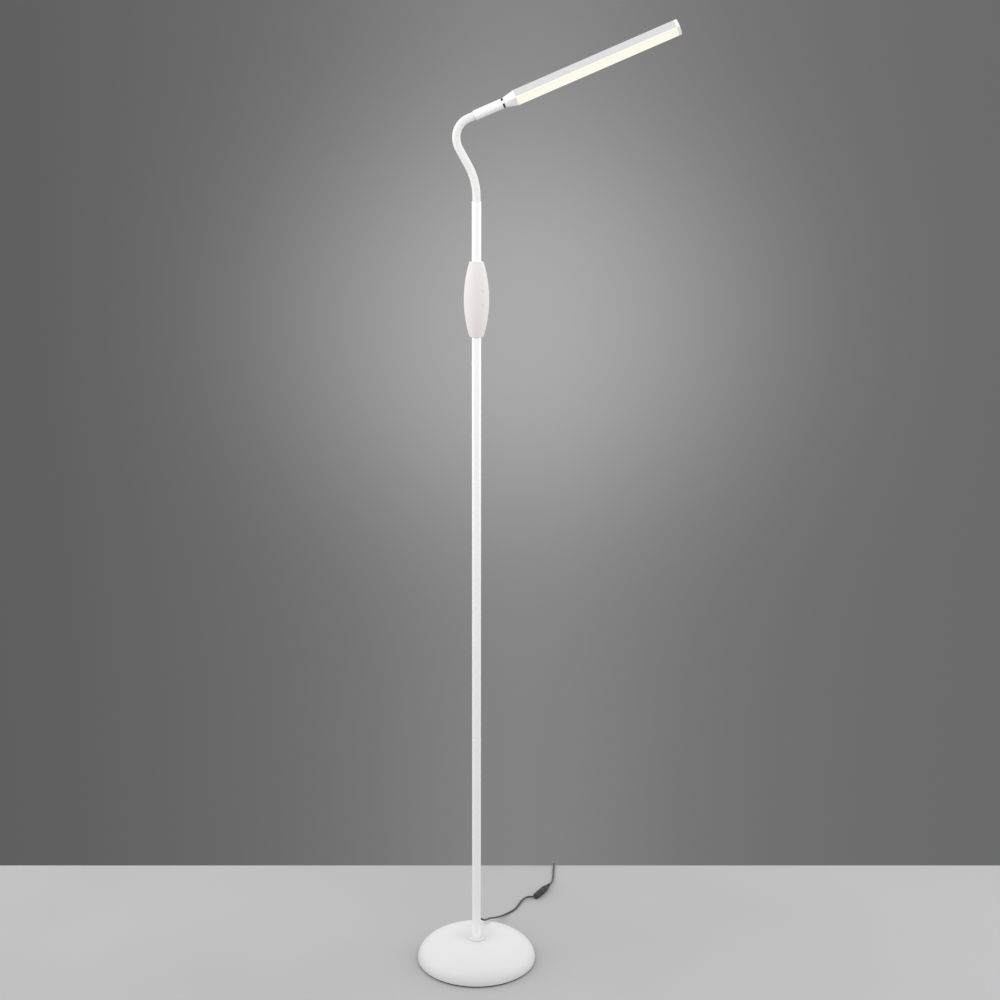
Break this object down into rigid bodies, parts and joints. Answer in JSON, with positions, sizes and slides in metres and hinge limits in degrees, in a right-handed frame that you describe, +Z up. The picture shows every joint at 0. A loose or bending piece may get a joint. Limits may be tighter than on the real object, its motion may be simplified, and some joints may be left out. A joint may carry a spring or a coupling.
{
  "type": "adjustable arm floor lamp",
  "caption": "Floor lamp with a weighted dome base, a slim screwed pole, a barrel touch grip, a gooseneck and a swivelling square LED light bar",
  "frame": {"origin": "centre of the round base on the floor", "axes": "+Z up along the pole; +X towards the far end of the light bar; -Y the side that the lit face leans to; +Y where the cord leaves"},
  "size_m": [0.4489, 0.572, 1.7043],
  "materials": {
    "white_powder_coat": "satin",
    "white_aluminium": "satin",
    "grip_plastic": "matte",
    "white_plastic": "satin",
    "diffuser": "satin",
    "black_plastic": "matte",
    "steel": "satin",
    "plated_pin": "polished",
    "cast_iron": "matte",
    "foot_pad": "matte",
    "cord_jacket": "satin",
    "wire": "satin",
    "board": "matte",
    "led_aluminium": "satin",
    "led_phosphor": "satin",
    "brass_core": "satin"
  },
  "bodies": {
    "stand": {"base_cover": "white_powder_coat", "base_weight": "cast_iron", "base_plate": "steel", "base_plate_screws": "steel", "foot_ring": "foot_pad", "base_bolt": "steel", "base_washer": "steel", "stem_spacer": "steel", "foot_flange": "white_powder_coat", "pole_foot_insert": "steel", "pole_section_lower": "white_powder_coat", "pole_section_middle": "white_powder_coat", "pole_section_upper": "white_powder_coat", "pole_couplers": "steel", "cord_strain_relief": "cord_jacket", "inner_wires": "wire", "grip_shell_front": "grip_plastic", "grip_shell_rear": "grip_plastic", "grip_screws": "steel", "touch_board": "board", "touch_board_screws": "steel", "touch_electrodes": "brass_core", "junction_core": "brass_core", "upper_tube": "white_powder_coat", "gooseneck_socket": "steel", "lamp_lead": "cord_jacket", "coupling_socket": "black_plastic", "coupling_plug": "black_plastic", "adapter_lead": "cord_jacket", "cord_coil": "cord_jacket", "coil_tie": "black_plastic", "cord_tail": "cord_jacket", "adapter_case_lower": "black_plastic", "adapter_case_upper": "black_plastic", "adapter_boot": "cord_jacket", "adapter_pins": "plated_pin"},
    "link_1": {"gooseneck_link_1": "steel"},
    "link_2": {"gooseneck_link_2": "steel"},
    "link_3": {"gooseneck_link_3": "steel"},
    "link_4": {"gooseneck_link_4": "steel"},
    "link_5": {"gooseneck_link_5": "steel"},
    "link_6": {"gooseneck_link_6": "steel"},
    "link_7": {"gooseneck_link_7": "steel"},
    "link_8": {"gooseneck_link_8": "steel"},
    "link_9": {"gooseneck_link_9": "steel"},
    "neck": {"neck_ball_end": "steel", "neck_tube": "white_powder_coat", "friction_ring": "black_plastic", "neck_bush": "black_plastic"},
    "head": {"swivel_spindle": "steel", "head_cone": "white_plastic", "head_housing": "white_aluminium", "head_end_cap": "white_plastic", "head_screws": "steel", "diffuser": "diffuser", "led_carrier": "led_aluminium", "led_board": "board", "led_chips": "led_phosphor", "head_wires": "wire"}
  },
  "joints": [
    {"name": "gooseneck_bend_1", "type": "hinge", "parent": "stand", "child": "link_1", "pos_m": [0, 0, 1.41411], "axis": [0, -1, 0], "range_deg": [-10, 12]},
    {"name": "gooseneck_lean_2", "type": "hinge", "parent": "link_1", "child": "link_2", "pos_m": [-0.0013, 0, 1.43089], "axis": [0.988, 0, 0.1544], "range_deg": [-20, 20]},
    {"name": "gooseneck_bend_3", "type": "hinge", "parent": "link_2", "child": "link_3", "pos_m": [-0.00518, 0, 1.44727], "axis": [0, -1, 0], "range_deg": [-10, 12]},
    {"name": "gooseneck_bend_4", "type": "hinge", "parent": "link_3", "child": "link_4", "pos_m": [-0.01155, 0, 1.46286], "axis": [0, -1, 0], "range_deg": [-10, 12]},
    {"name": "gooseneck_lean_5", "type": "hinge", "parent": "link_4", "child": "link_5", "pos_m": [-0.01964, 0, 1.47764], "axis": [0.8746, 0, 0.4848], "range_deg": [-20, 20]},
    {"name": "gooseneck_bend_6", "type": "hinge", "parent": "link_5", "child": "link_6", "pos_m": [-0.0278, 0, 1.49237], "axis": [0, -1, 0], "range_deg": [-8, 22]},
    {"name": "gooseneck_bend_7", "type": "hinge", "parent": "link_6", "child": "link_7", "pos_m": [-0.03344, 0, 1.50814], "axis": [0, -1, 0], "range_deg": [-8, 22]},
    {"name": "gooseneck_lean_8", "type": "hinge", "parent": "link_7", "child": "link_8", "pos_m": [-0.03207, 0, 1.52477], "axis": [0.9466, 0, -0.3225], "range_deg": [-20, 20]},
    {"name": "gooseneck_bend_9", "type": "hinge", "parent": "link_8", "child": "link_9", "pos_m": [-0.02293, 0, 1.53871], "axis": [0, -1, 0], "range_deg": [-8, 22]},
    {"name": "gooseneck_bend_10", "type": "hinge", "parent": "link_9", "child": "neck", "pos_m": [-0.00834, 0, 1.54693], "axis": [0, -1, 0], "range_deg": [-8, 22]},
    {"name": "head_swivel", "type": "hinge", "parent": "neck", "child": "head", "pos_m": [0.04446, 0, 1.56933], "axis": [0.9205, 0, 0.3907], "range_deg": [-43, 137]}
  ],
  "couplings": [
    {"joint": "gooseneck_bend_3", "follows": "gooseneck_bend_1", "ratio": 1},
    {"joint": "gooseneck_bend_4", "follows": "gooseneck_bend_1", "ratio": 1},
    {"joint": "gooseneck_bend_7", "follows": "gooseneck_bend_6", "ratio": 1},
    {"joint": "gooseneck_bend_9", "follows": "gooseneck_bend_6", "ratio": 1},
    {"joint": "gooseneck_bend_10", "follows": "gooseneck_bend_6", "ratio": 1},
    {"joint": "gooseneck_lean_5", "follows": "gooseneck_lean_2", "ratio": 1},
    {"joint": "gooseneck_lean_8", "follows": "gooseneck_lean_2", "ratio": 1}
  ]
}
